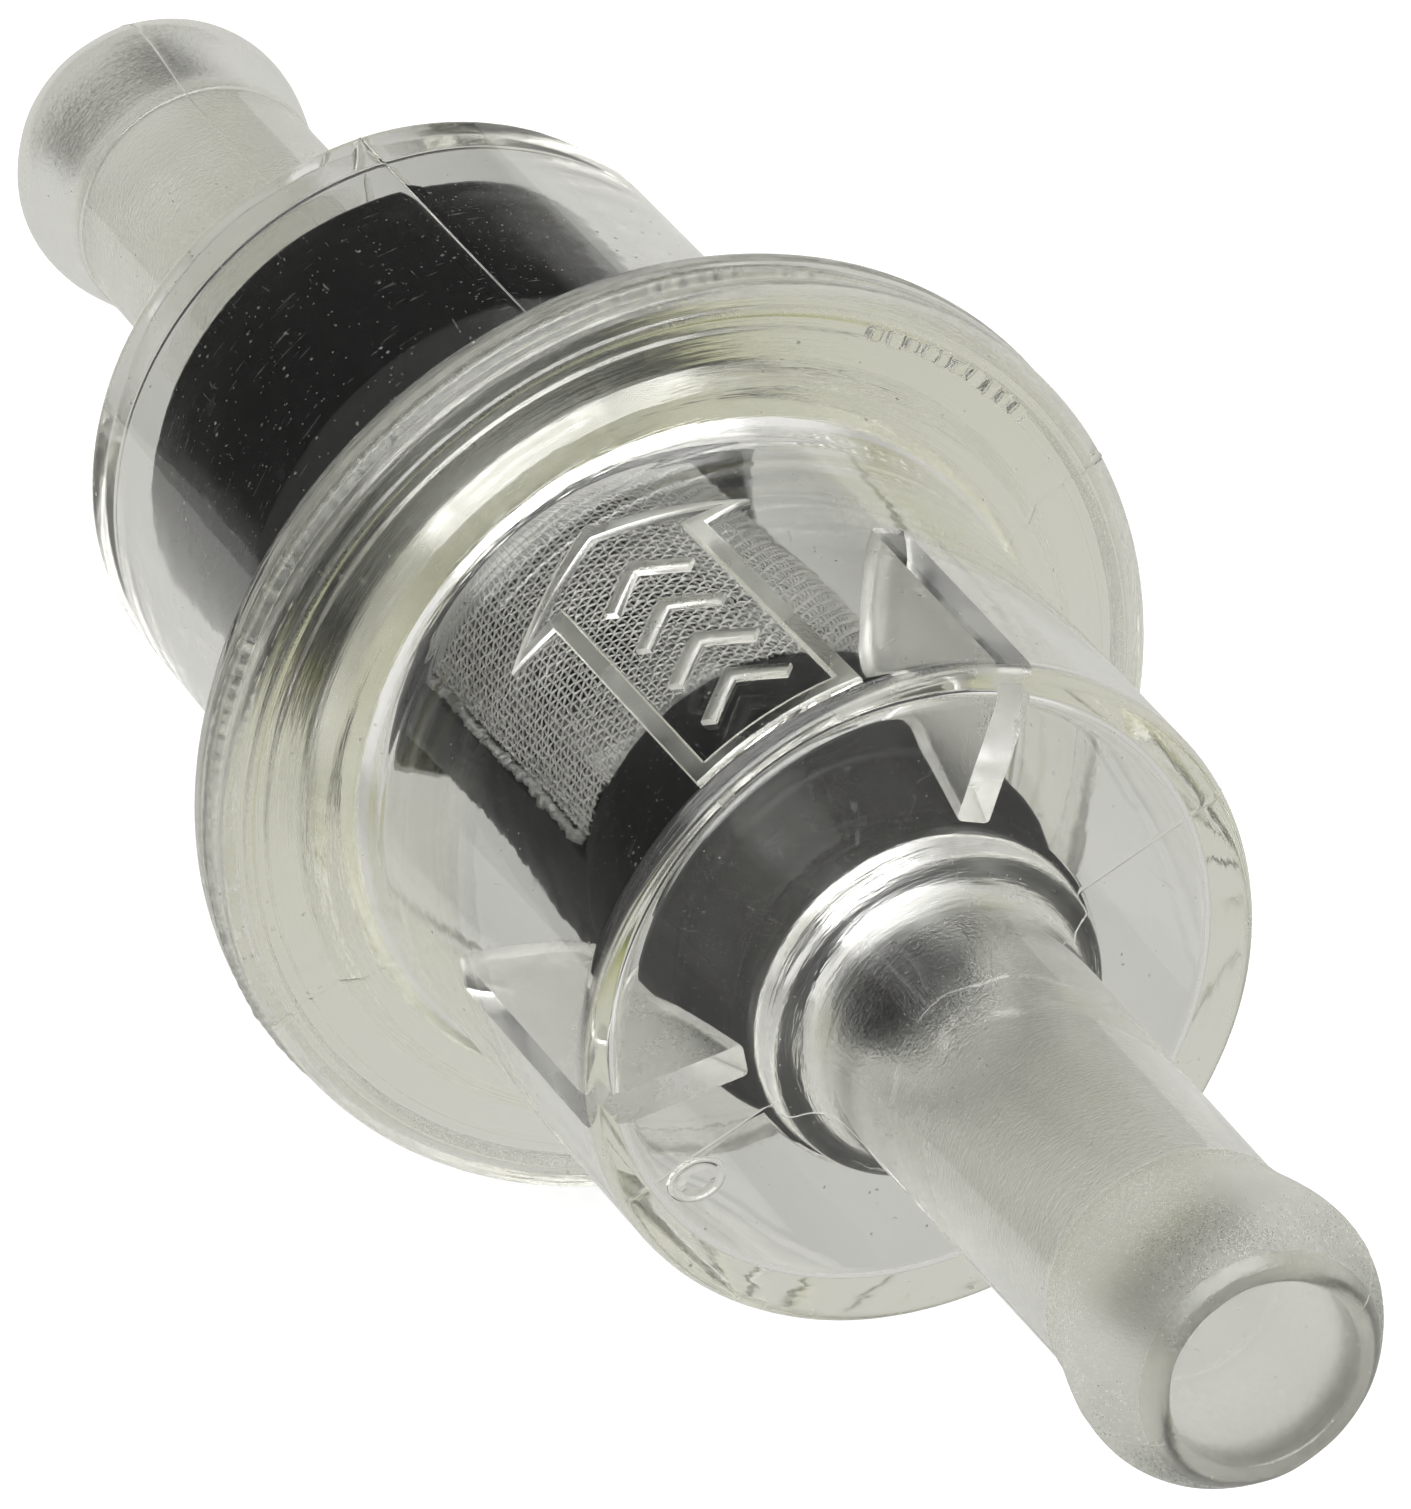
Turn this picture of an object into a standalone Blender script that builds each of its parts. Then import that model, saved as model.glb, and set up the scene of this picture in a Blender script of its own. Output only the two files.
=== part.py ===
"""In-line fuel filter with hose nipples, as an assembly of separate pieces.

Two clear moulded housing halves meet at a welded flange. Inside, a black
element base carries a black cage with two long windows, and a woven nylon
screen is wrapped round the cage. Fuel enters at the -X nipple, passes through
the screen into the cage, and leaves through the base and the +X nipple.

Frame: the filter's axis is X, flow runs towards +X, +Z is the side with the
raised flow arrow. The origin is on the axis, midway between the nipple tips.
Lengths are in millimetres and are turned to metres by MM.
Angles round the axis are in degrees from +Y towards +Z.
"""

import math

import bmesh
import bpy
from mathutils import Matrix, Vector

MM = 0.001
SHARP_ANGLE = 35          # degrees; steeper edges stay sharp
TURN_MERGE = 0.00001      # metres, joins the ends of a turned surface
PLATE_MERGE = 0.000002    # metres, welds the sides of a plate to its faces

# ---- housing -------------------------------------------------------------
HALF_LENGTH = 39.6        # origin to each nipple tip
BORE_R = 2.8              # through bore of both nipples
TUBE_R = 4.0              # hose nipple, at its root
TUBE_TIP_R = 3.92         # hose nipple, just behind the bead
BEAD_R = 4.5              # hose retaining bead
BEAD_BACK = 2.7           # tip to the bead's widest circle
BEAD_LENGTH = 5.65        # tip to where the bead starts
BOSS_R = 5.15             # round boss at the foot of each nipple
BOSS_H = 1.15             # its height over the end face
WALL = 1.0                # housing wall

IN_END_X = -17.45         # outer end face of the inlet half
IN_R = 10.3               # its body radius
STEP_X = -2.0             # flat step round the body, next to the flange
STEP_R = 11.4
FLANGE_FRONT_X = -1.42    # flange face on the inlet side
FLANGE_BACK_X = 0.75      # flange face on the outlet side
WELD_X = -0.36            # plane where the two halves are joined
WELD_GAP = 0.16           # each flange face stops this far from that plane
FLANGE_R = 14.5
RIM_BEVEL = 0.25          # outer corner of each flange
WELD_R = 14.7             # crest of the squeezed-out weld
OUT_END_X = 19.45         # outer end face of the outlet half
OUT_END_R = 9.8           # its body radius at that end
OUT_ROOT_R = 10.05        # and at the flange (moulding draft)
SEGMENTS = 48             # round the housing halves and the weld

# Nipple from the tip to behind the bead: (distance from the tip, radius).
NIPPLE_BEAD = [
    (0.0, BORE_R),
    (0.0, 3.3),
    (0.35, 3.6),
    (0.85, 3.95),
    (1.6, BEAD_R - 0.17),
    (2.2, BEAD_R - 0.03),
    (BEAD_BACK, BEAD_R),
    (3.4, BEAD_R - 0.08),
    (BEAD_LENGTH - 0.9, TUBE_TIP_R + 0.18),
    (BEAD_LENGTH, TUBE_TIP_R),
]
# Foot of the nipple and its boss: (distance past the boss's top, radius).
NIPPLE_FOOT = [
    (-1.9, TUBE_R),
    (-0.9, TUBE_R + 0.14),
    (-0.3, TUBE_R + 0.45),
    (-0.05, TUBE_R + 0.75),
    (0.1, BOSS_R - 0.15),
    (0.4, BOSS_R),
]

# ---- details of the inlet half -------------------------------------------
RIB_T = 1.05              # inner locating ribs
RIB_ANGLES = [12.5 + 120 * number for number in range(3)]

# Flow arrow, as (x, distance round the body); slightly skewed, as it is moulded.
ARROW = [
    (-16.5, -2.3), (-6.6, -2.05), (-6.35, -3.45), (-4.65, 0.5),
    (-6.85, 4.25), (-6.85, 2.65), (-16.5, 2.6),
]
CHEVRON = [(0.0, -1.2), (1.2, 0.15), (0.0, 1.5)]    # same columns, x from its own start
CHEVRON_X, CHEVRON_PITCH, CHEVRONS = -14.9, 2.2, 4
STROKE = 0.28             # half width of the raised lines
RAISED = 0.32             # their height over the body
WRAP_PITCH = 0.9          # spacing of points where a line runs round the body

GATE_FOOT_R, GATE_TOP_R = 0.95, 0.8
GATE_DEPTH = 0.9
GATE_SEGMENTS = 16
GATE_INSET = 0.25         # its centre, inside the end face
GATE_FROM_AXIS = 8.1
GATE_ANGLE = -7.5

# ---- element -------------------------------------------------------------
BASE_R = 8.0              # element base
BASE_X0, BASE_X1 = 9.0, 18.1
BASE_FLOOR = 1.6          # thickness round its hole
SEAT_X0 = 10.5            # inside the base's mouth, where the cage plugs in
CAGE_R = 5.9              # element cage
CAGE_X0, CAGE_X1 = -13.3, 14.6
MOUTH_R = CAGE_R + 0.3    # widest part of the base's inside
SEAT_R = CAGE_R - 0.2     # round the cage's spigot
SEAT_END_X = CAGE_X1 + 0.4
FLOOR_R = CAGE_R - 1.2    # narrower recess beyond the seat
CAGE_END_T = 1.2          # closed end of the cage
CAGE_BORE_R = 4.3
SPIGOT_R = 5.35
SPIGOT_X0 = SEAT_X0 - 0.3
WINDOW_X0, WINDOW_X1 = -7.5, 9.2
WINDOW_ARC = 120.0
WINDOW_ANGLES = (94.5, 274.5)
CUTTER_APEX_R, CUTTER_R = 1.2, 9.0
CUTTER_STEPS = 8          # straight pieces along its arc
SCREEN_R0, SCREEN_R1 = 5.55, 5.8    # woven screen, in a groove of the cage
SCREEN_X0, SCREEN_X1 = -8.4, 9.7
GROOVE_R = 5.3
GROOVE_GAP = 0.25         # groove beyond each end of the screen
ELEMENT_SEGMENTS = 40     # round the base and the screen
CAGE_SEGMENTS = 36


# ---- helpers -------------------------------------------------------------
def collection(name, hidden=False):
    made = bpy.data.collections.new(name)
    bpy.context.scene.collection.children.link(made)
    made.hide_render = hidden
    return made


def material(name, colour, roughness, transmission=0.0, alpha=1.0):
    made = bpy.data.materials.new(name)
    made.use_nodes = True
    shader = made.node_tree.nodes["Principled BSDF"]
    shader.inputs["Base Color"].default_value = (*colour, 1.0)
    shader.inputs["Roughness"].default_value = roughness
    shader.inputs["Transmission Weight"].default_value = transmission
    shader.inputs["Alpha"].default_value = alpha
    made.diffuse_color = (*colour, alpha)
    return made


def place(data, name, home):
    made = bpy.data.objects.new(name, data)
    home.objects.link(made)
    return made


def turned(name, profile, finish, steps=SEGMENTS, closed=True):
    """A part made by turning an (x, radius) outline about the filter's axis.

    The outer side of the outline runs from high x to low x. It is drawn at
    local +X with local Z as the axis; the object is then laid down so that
    local Z is the filter's +X. An outline that ends on the axis is left open.
    """
    mesh = bpy.data.meshes.new(name)
    points = [(radius * MM, 0.0, x * MM) for x, radius in profile]
    count = len(points)
    links = [(i, (i + 1) % count) for i in range(count if closed else count - 1)]
    mesh.from_pydata(points, links, [])
    made = place(mesh, name, PARTS)
    mesh.materials.append(finish)
    screw = made.modifiers.new("turn", "SCREW")
    screw.axis = "Z"
    screw.steps = screw.render_steps = steps
    screw.use_merge_vertices = True
    screw.merge_threshold = TURN_MERGE
    screw.use_smooth_shade = True
    made.rotation_euler = (0.0, math.pi / 2, 0.0)
    return made


def solid_from_curve(curve, name):
    """Replaces a curve object by a welded mesh object in the same place."""
    bpy.context.view_layer.update()
    graph = bpy.context.evaluated_depsgraph_get()
    mesh = bpy.data.meshes.new_from_object(curve.evaluated_get(graph))
    work = bmesh.new()
    work.from_mesh(mesh)
    bmesh.ops.remove_doubles(work, verts=work.verts, dist=PLATE_MERGE)
    bmesh.ops.recalc_face_normals(work, faces=work.faces)
    work.to_mesh(mesh)
    work.free()
    made = place(mesh, name, TOOLS)
    made.matrix_world = curve.matrix_world.copy()
    bpy.data.objects.remove(curve, do_unlink=True)
    return made


def plate(name, outlines, thickness):
    """A flat shape centred on local XY. An outline inside another is a hole."""
    data = bpy.data.curves.new(name + "_outline", "CURVE")
    data.dimensions = "2D"
    data.fill_mode = "BOTH"
    data.extrude = thickness / 2 * MM
    for outline in outlines:
        line = data.splines.new("POLY")
        line.points.add(len(outline) - 1)
        for point, (x, y) in zip(line.points, outline):
            point.co = (x * MM, y * MM, 0.0, 1.0)
        line.use_cyclic_u = True
    return solid_from_curve(place(data, name + "_outline", TOOLS), name)


def beside(corners, distance, closed):
    """The line that runs beside a path at a constant distance, with mitred corners."""
    count = len(corners)
    made = []
    for i, (x, y) in enumerate(corners):
        normals = []
        for start, end in ((i - 1, i), (i, i + 1)):
            if not closed and (start < 0 or end >= count):
                continue
            (x0, y0), (x1, y1) = corners[start % count], corners[end % count]
            length = math.hypot(x1 - x0, y1 - y0)
            normals.append((-(y1 - y0) / length, (x1 - x0) / length))
        mitre_x = sum(normal[0] for normal in normals)
        mitre_y = sum(normal[1] for normal in normals)
        size = math.hypot(mitre_x, mitre_y)
        mitre_x, mitre_y = mitre_x / size, mitre_y / size
        reach = distance / (mitre_x * normals[0][0] + mitre_y * normals[0][1])
        made.append((x + mitre_x * reach, y + mitre_y * reach))
    return made


def divided(outline):
    """The same closed outline, with extra points wherever it runs round the body."""
    made = []
    for (x0, y0), (x1, y1) in zip(outline, outline[1:] + outline[:1]):
        pieces = max(1, round(abs(y1 - y0) / WRAP_PITCH))
        made += [
            (x0 + (x1 - x0) * k / pieces, y0 + (y1 - y0) * k / pieces)
            for k in range(pieces)
        ]
    return made


def wrap(flat, radius):
    """Wraps a flat shape (x along, y across, z up) round the body, at +Z."""
    for vertex in flat.data.vertices:
        x, y, z = vertex.co
        angle = y / (radius * MM)
        reach = radius * MM + z
        vertex.co = (x, reach * math.sin(angle), reach * math.cos(angle))


def boolean(target, tool, operation):
    step = target.modifiers.new(tool.name, "BOOLEAN")
    step.operation = operation
    step.solver = "EXACT"
    step.object = tool
    tool.hide_render = True
    tool.display_type = "WIRE"


def about_axis(degrees):
    return Matrix.Rotation(math.radians(degrees), 4, "X")


# ---- materials -----------------------------------------------------------
def clear_plastic(name):
    return material(name, (0.80, 0.81, 0.74), roughness=0.12, transmission=0.9, alpha=0.4)


def weld_plastic():
    return material(
        "clear_weld", (0.76, 0.77, 0.68), roughness=0.4, transmission=0.8, alpha=0.5
    )


def base_plastic():
    return material("black_base", (0.012, 0.012, 0.013), roughness=0.18)


def cage_plastic():
    return material("black_cage", (0.020, 0.020, 0.022), roughness=0.35)


def nylon():
    return material("nylon_screen", (0.62, 0.62, 0.58), roughness=0.5)


# ---- housings ------------------------------------------------------------
# In the outlines below, inward is the way from a nipple tip to the flange:
# +1 on the inlet half, -1 on the outlet half. Points are (x, radius).
def end_outside(inward, end_x, body_r):
    """Outer side from the nipple tip to the body's rounded end corner."""
    tip = -inward * HALF_LENGTH
    boss_top = end_x - inward * BOSS_H
    return (
        [(tip + inward * distance, radius) for distance, radius in NIPPLE_BEAD]
        + [(boss_top + inward * distance, radius) for distance, radius in NIPPLE_FOOT]
        + [
            (end_x - inward * 0.2, BOSS_R),
            (end_x, BOSS_R + 0.2),
            (end_x, body_r - 0.35),
            (end_x + inward * 0.1, body_r - 0.1),
            (end_x + inward * 0.35, body_r),
        ]
    )


def end_inside(inward, end_x, body_r):
    """Inner side from the bore to the body wall."""
    face = end_x + inward * WALL
    inner_r = body_r - WALL
    return [
        (face, BORE_R),
        (face, inner_r - 0.5),
        (face + inward * 0.15, inner_r - 0.15),
        (face + inward * 0.5, inner_r),
    ]


def flange_rim(inward, weld_face, outer_face):
    """Rim of a flange, from its weld face to its outer face."""
    return [
        (weld_face, 13.95),
        (weld_face - inward * 0.12, 14.2),
        (outer_face + inward * RIM_BEVEL, FLANGE_R),
        (outer_face, FLANGE_R - RIM_BEVEL),
    ]


def inlet_housing():
    weld_face = WELD_X - WELD_GAP
    step = [
        (FLANGE_FRONT_X, STEP_R + 0.70),
        (STEP_X + 0.03, STEP_R + 0.12),
        (STEP_X, STEP_R + 0.02),
        (STEP_X, IN_R + 0.98),
        (STEP_X - 0.22, IN_R + 0.48),
        (STEP_X - 0.70, IN_R + 0.13),
        (STEP_X - 1.35, IN_R),
    ]
    outside = flange_rim(1, weld_face, FLANGE_FRONT_X) + step
    outside += end_outside(1, IN_END_X, IN_R)[::-1]
    inside = end_inside(1, IN_END_X, IN_R) + [
        (STEP_X - 0.5, IN_R - WALL),
        (weld_face, IN_R - WALL + 0.15),
    ]
    return turned("inlet_housing", outside + inside, clear_plastic("clear_inlet"))


def add_ribs(inlet):
    """Three locating ribs along the body wall, just clear of the cage."""
    root_x = IN_END_X + 0.4    # buried in the end wall
    root_r = IN_R - 0.5        # buried in the body wall
    outline = [
        (root_x, 5.15), (IN_END_X + WALL, 5.25), (CAGE_X0 - 0.1, 5.95),
        (CAGE_X0 + 0.7, CAGE_R + 0.32), (-10.2, CAGE_R + 0.35), (-9.6, 6.55),
        (-9.1, 7.1), (-8.5, 8.1), (-7.9, 9.1), (-7.75, root_r), (root_x, root_r),
    ]
    for number, degrees in enumerate(RIB_ANGLES):
        rib = plate("rib_%d" % number, [outline], RIB_T)
        rib.matrix_world = about_axis(degrees)
        boolean(inlet, rib, "UNION")


def add_flow_arrow(inlet):
    """Raised arrow in outline, with plain chevrons inside its shaft."""
    thickness = 2 * RAISED    # half of it is sunk in the wall
    edges = [divided(beside(ARROW, side, closed=True)) for side in (-STROKE, STROKE)]
    marks = [plate("arrow", edges, thickness)]
    for number in range(CHEVRONS):
        start = CHEVRON_X + CHEVRON_PITCH * number
        bend = [(start + x, y) for x, y in CHEVRON]
        band = beside(bend, STROKE, closed=False) + beside(bend, -STROKE, closed=False)[::-1]
        marks.append(plate("chevron_%d" % number, [divided(band)], thickness))
    for mark in marks:
        wrap(mark, IN_R)
        boolean(inlet, mark, "UNION")


def add_gate_mark(inlet):
    """Round gate mark left by moulding, on the end face beside the nipple."""
    mesh = bpy.data.meshes.new("gate_mark")
    work = bmesh.new()
    bmesh.ops.create_cone(
        work,
        cap_ends=True,
        segments=GATE_SEGMENTS,
        radius1=GATE_FOOT_R,
        radius2=GATE_TOP_R,
        depth=GATE_DEPTH,
    )
    bmesh.ops.scale(work, vec=Vector((MM, MM, MM)), verts=work.verts)
    work.to_mesh(mesh)
    work.free()
    gate = place(mesh, "gate_mark", TOOLS)
    angle = math.radians(GATE_ANGLE)
    centre = Vector((
        IN_END_X + GATE_INSET,
        GATE_FROM_AXIS * math.cos(angle),
        GATE_FROM_AXIS * math.sin(angle),
    ))
    # Its narrow end faces -X.
    gate.matrix_world = Matrix.Translation(centre * MM) @ Matrix.Rotation(-math.pi / 2, 4, "Y")
    boolean(inlet, gate, "UNION")


def outlet_housing():
    weld_face = WELD_X + WELD_GAP
    outside = end_outside(-1, OUT_END_X, OUT_END_R) + [
        (FLANGE_BACK_X + 0.9, OUT_ROOT_R),
        (FLANGE_BACK_X + 0.25, OUT_ROOT_R + 0.15),
        (FLANGE_BACK_X, OUT_ROOT_R + 0.6),
    ]
    outside += flange_rim(-1, weld_face, FLANGE_BACK_X)[::-1]
    inside = [
        (weld_face, OUT_ROOT_R - WALL + 0.15),
        (FLANGE_BACK_X + 0.5, OUT_ROOT_R - WALL),
    ] + end_inside(-1, OUT_END_X, OUT_END_R)[::-1]
    return turned("outlet_housing", outside + inside, clear_plastic("clear_outlet"))


def weld_bead():
    """Squeezed-out weld in the V between the two flange rims."""
    profile = [
        (WELD_X + 0.36, 14.52),
        (WELD_X + 0.12, WELD_R),
        (WELD_X - 0.12, WELD_R),
        (WELD_X - 0.36, 14.52),
        (WELD_X - 0.05, 14.08),
        (WELD_X + 0.05, 14.08),
    ]
    return turned("weld_bead", profile, weld_plastic())


# ---- element -------------------------------------------------------------
def element_base():
    """A cup with its mouth towards the inlet and a hole in its floor.

    The hole lines up with the outlet bore and is bevelled on the outlet side.
    """
    floor_x = BASE_X1 - BASE_FLOOR
    profile = [
        (BASE_X1, BORE_R + 0.6),
        (BASE_X1, BASE_R - 0.4),
        (BASE_X1 - 0.4, BASE_R),
        (BASE_X0 + 1.3, BASE_R),
        (BASE_X0 + 0.25, BASE_R - 0.55),
        (BASE_X0, BASE_R - 0.85),
        (BASE_X0, MOUTH_R),
        (SEAT_X0, MOUTH_R),
        (SEAT_X0 + 0.3, SEAT_R),
        (SEAT_END_X, SEAT_R),
        (SEAT_END_X, FLOOR_R),
        (floor_x, FLOOR_R),
        (floor_x, BORE_R),
        (BASE_X1 - 0.3, BORE_R),
    ]
    return turned("element_base", profile, base_plastic(), steps=ELEMENT_SEGMENTS)


def element_cage():
    """Closed towards the inlet, with an open spigot that plugs into the base.

    A shallow groove round the windows takes the woven screen.
    """
    profile = [
        (CAGE_X0 + CAGE_END_T, 0.0),
        (CAGE_X0 + CAGE_END_T, CAGE_BORE_R),
        (CAGE_X1, CAGE_BORE_R),
        (CAGE_X1, SPIGOT_R),
        (SPIGOT_X0, SPIGOT_R),
        (SPIGOT_X0, CAGE_R),
        (SCREEN_X1 + GROOVE_GAP, CAGE_R),
        (SCREEN_X1 + GROOVE_GAP, GROOVE_R),
        (SCREEN_X0 - GROOVE_GAP, GROOVE_R),
        (SCREEN_X0 - GROOVE_GAP, CAGE_R),
        (CAGE_X0 + 0.5, CAGE_R),
        (CAGE_X0 + 0.13, CAGE_R - 0.17),
        (CAGE_X0, CAGE_R - 0.5),
        (CAGE_X0, 0.0),
    ]
    return turned("element_cage", profile, cage_plastic(), steps=CAGE_SEGMENTS, closed=False)


def cut_windows(cage):
    """Cuts each window with a wedge: a fan across the axis, as long as the window."""
    half = math.radians(WINDOW_ARC / 2)
    angles = [-half + 2 * half * k / CUTTER_STEPS for k in range(CUTTER_STEPS + 1)]
    fan = [(CUTTER_APEX_R, 0.0)]
    fan += [(CUTTER_R * math.cos(angle), CUTTER_R * math.sin(angle)) for angle in angles]
    middle = Matrix.Translation(Vector(((WINDOW_X0 + WINDOW_X1) / 2 * MM, 0.0, 0.0)))
    # Turns local X, Y, Z to the filter's Y, Z, X.
    across = Matrix(((0, 0, 1, 0), (1, 0, 0, 0), (0, 1, 0, 0), (0, 0, 0, 1)))
    for number, degrees in enumerate(WINDOW_ANGLES):
        cutter = plate("window_%d" % number, [fan], WINDOW_X1 - WINDOW_X0)
        cutter.matrix_world = middle @ about_axis(degrees) @ across
        boolean(cage, cutter, "DIFFERENCE")


def mesh_screen():
    """Woven nylon screen, as a thin plain sleeve."""
    profile = [
        (SCREEN_X1, SCREEN_R0),
        (SCREEN_X1, SCREEN_R1),
        (SCREEN_X0, SCREEN_R1),
        (SCREEN_X0, SCREEN_R0),
    ]
    return turned("mesh_screen", profile, nylon(), steps=ELEMENT_SEGMENTS)


# ---- assembly ------------------------------------------------------------
for old in list(bpy.data.objects):
    bpy.data.objects.remove(old, do_unlink=True)

PARTS = collection("fuel_filter")
TOOLS = collection("fuel_filter_tools", hidden=True)

inlet_half = inlet_housing()
add_ribs(inlet_half)
add_flow_arrow(inlet_half)
add_gate_mark(inlet_half)
outlet_half = outlet_housing()
weld_ring = weld_bead()
base_cup = element_base()
window_cage = element_cage()
cut_windows(window_cage)
screen_sleeve = mesh_screen()

# Smooth shading on round faces, sharp at real edges.
for part in (inlet_half, outlet_half, weld_ring, base_cup, window_cage, screen_sleeve):
    part.data.shade_smooth()
    part.data.set_sharp_from_angle(angle=math.radians(SHARP_ANGLE))
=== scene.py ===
"""A clear in-line filter: two welded housing halves round a black element with a woven screen.

The part's axis is X, with the inlet nipple towards -X and the outlet nipple towards +X.
Shapes are given in millimetres as (x, r), r being the distance from the axis. Angles round
the axis run from +Y towards +Z. The scene is in metres, with +Z up.
"""

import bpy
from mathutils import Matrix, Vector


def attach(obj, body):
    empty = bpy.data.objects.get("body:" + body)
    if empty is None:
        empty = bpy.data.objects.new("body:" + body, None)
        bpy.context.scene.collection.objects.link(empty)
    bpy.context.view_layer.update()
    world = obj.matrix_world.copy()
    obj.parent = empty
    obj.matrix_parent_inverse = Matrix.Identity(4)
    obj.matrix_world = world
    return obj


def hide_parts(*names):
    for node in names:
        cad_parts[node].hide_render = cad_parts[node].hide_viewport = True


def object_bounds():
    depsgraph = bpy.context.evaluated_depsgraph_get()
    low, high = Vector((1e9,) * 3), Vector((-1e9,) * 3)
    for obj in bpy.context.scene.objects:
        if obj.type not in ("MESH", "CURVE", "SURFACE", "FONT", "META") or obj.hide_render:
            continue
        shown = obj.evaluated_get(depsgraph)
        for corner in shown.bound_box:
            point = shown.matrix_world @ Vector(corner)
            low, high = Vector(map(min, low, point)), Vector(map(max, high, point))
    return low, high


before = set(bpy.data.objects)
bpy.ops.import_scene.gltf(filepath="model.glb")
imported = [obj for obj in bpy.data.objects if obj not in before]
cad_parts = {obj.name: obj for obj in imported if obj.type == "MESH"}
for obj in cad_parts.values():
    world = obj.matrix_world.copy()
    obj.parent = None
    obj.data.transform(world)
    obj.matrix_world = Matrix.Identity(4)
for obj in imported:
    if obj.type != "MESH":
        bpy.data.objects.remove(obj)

import math

import bmesh
import bpy
import numpy as np
from mathutils import Matrix, Vector

MM = 0.001
TAU = 2 * math.pi
ANY = math.inf
cad_lo, cad_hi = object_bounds()
rng = np.random.default_rng(7)

SPIN = 77.5            # degrees round X that the camera, weld and screen are set out from
INLET_TIP, INLET_END = -39.6, -17.45    # x of the nipple's tip and of the body's end face
OUTLET_TIP, OUTLET_END = 39.6, 19.45
BORE_R = 2.8
INLET_R = 10.3         # outside of the inlet body
NIPPLE_FOOT_R = 5.42   # where the nipple's foot meets the end face
FLANGE_R = 14.5
INLET_LINES = (177.5, 357.5)   # parting lines, degrees
OUTLET_LINES = (106.5, 286.5)


# ---------------------------------------------------------------- outlines
def rounded(corners, closed=True, step=9.0):
    """(x, r, fillet) corners to a smooth list of (x, r), one point per step degrees of arc."""
    count = len(corners)
    out = []
    for i, (x, r, fillet) in enumerate(corners):
        corner = np.array([x, r], float)
        if fillet <= 0 or (not closed and i in (0, count - 1)):
            out.append(corner)
            continue
        back = np.array(corners[i - 1][:2], float) - corner
        ahead = np.array(corners[(i + 1) % count][:2], float) - corner
        back_length, ahead_length = np.linalg.norm(back), np.linalg.norm(ahead)
        back, ahead = back / back_length, ahead / ahead_length
        turn = math.pi - math.acos(max(-1.0, min(1.0, float(back @ ahead))))
        if turn < 0.02:
            out.append(corner)
            continue
        reach = min(fillet * math.tan(turn / 2), 0.48 * back_length, 0.48 * ahead_length)
        radius = reach / math.tan(turn / 2)
        middle = back + ahead
        centre = corner + middle / np.linalg.norm(middle) * (radius / math.cos(turn / 2))
        start, stop = corner + back * reach - centre, corner + ahead * reach - centre
        first = math.atan2(start[1], start[0])
        last = math.atan2(stop[1], stop[0])
        sweep = (last - first + math.pi) % TAU - math.pi
        pieces = max(2, int(math.ceil(math.degrees(abs(sweep)) / step)))
        for j in range(pieces + 1):
            angle = first + sweep * j / pieces
            out.append(centre + radius * np.array([math.cos(angle), math.sin(angle)]))
    return out


def chaikin(points):
    """Two rounds of corner cutting on an open run of (x, r); the ends stay."""
    points = [np.array(p, float) for p in points]
    for _ in range(2):
        cut = [points[0]]
        for a, b in zip(points, points[1:]):
            cut += [a * 0.75 + b * 0.25, a * 0.25 + b * 0.75]
        cut.append(points[-1])
        points = cut
    return points


def supported(points, closed=True):
    """Extra points on long runs, close to both ends, so shading stays flat there."""
    shortest, longest, near = 0.35, 0.9, 0.07
    count = len(points)
    out = []
    for i in range(count):
        a = points[i]
        out.append(a)
        if not closed and i == count - 1:
            break
        b = points[(i + 1) % count]
        length = float(np.linalg.norm(b - a))
        if length > shortest:
            middle = length - 2 * near
            inner = max(0, int(math.ceil(middle / longest)) - 1)
            cuts = [near / length]
            cuts += [(near + middle * (k + 1) / (inner + 1)) / length for k in range(inner)]
            cuts.append(1 - near / length)
            out += [a + (b - a) * c for c in cuts]
    return out


def clean(points, least=0.004):
    """Drops points that sit on the one before, and the last ones if they sit on the first."""
    out = []
    for p in points:
        if not out or np.linalg.norm(p - out[-1]) > least:
            out.append(p)
    while np.linalg.norm(out[0] - out[-1]) < least:
        out.pop()
    return out


def turns(count, marks=()):
    """Angles round the axis in radians, with closer ones at the marked degrees."""
    width = 0.35
    angles = list(np.arange(count) * 360.0 / count)
    for mark in marks:
        mark = mark % 360
        angles = [a for a in angles if abs((a - mark + 180) % 360 - 180) > width * 1.6]
        angles += [mark - width, mark - width * 0.35, mark, mark + width * 0.35, mark + width]
    return np.radians(np.sort(np.array(angles) % 360))


def pairs(points, closed):
    """Each point with the next one."""
    return list(zip(points, points[1:] + points[:1] if closed else points[1:]))


def beside(corners, distance, closed):
    """The path moved sideways, with the reach at sharp corners limited."""
    count = len(corners)
    limit = 1.45 * abs(distance)
    made = []
    for i, (x, y) in enumerate(corners):
        normals = []
        for a, b in ((i - 1, i), (i, i + 1)):
            if not closed and (a < 0 or b >= count):
                continue
            (x0, y0), (x1, y1) = corners[a % count], corners[b % count]
            length = math.hypot(x1 - x0, y1 - y0)
            normals.append((-(y1 - y0) / length, (x1 - x0) / length))
        nx, ny = sum(n[0] for n in normals), sum(n[1] for n in normals)
        size = math.hypot(nx, ny)
        nx, ny = nx / size, ny / size
        reach = distance / (nx * normals[0][0] + ny * normals[0][1])
        reach = max(-limit, min(limit, reach))
        made.append((x + nx * reach, y + ny * reach))
    return made


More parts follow.
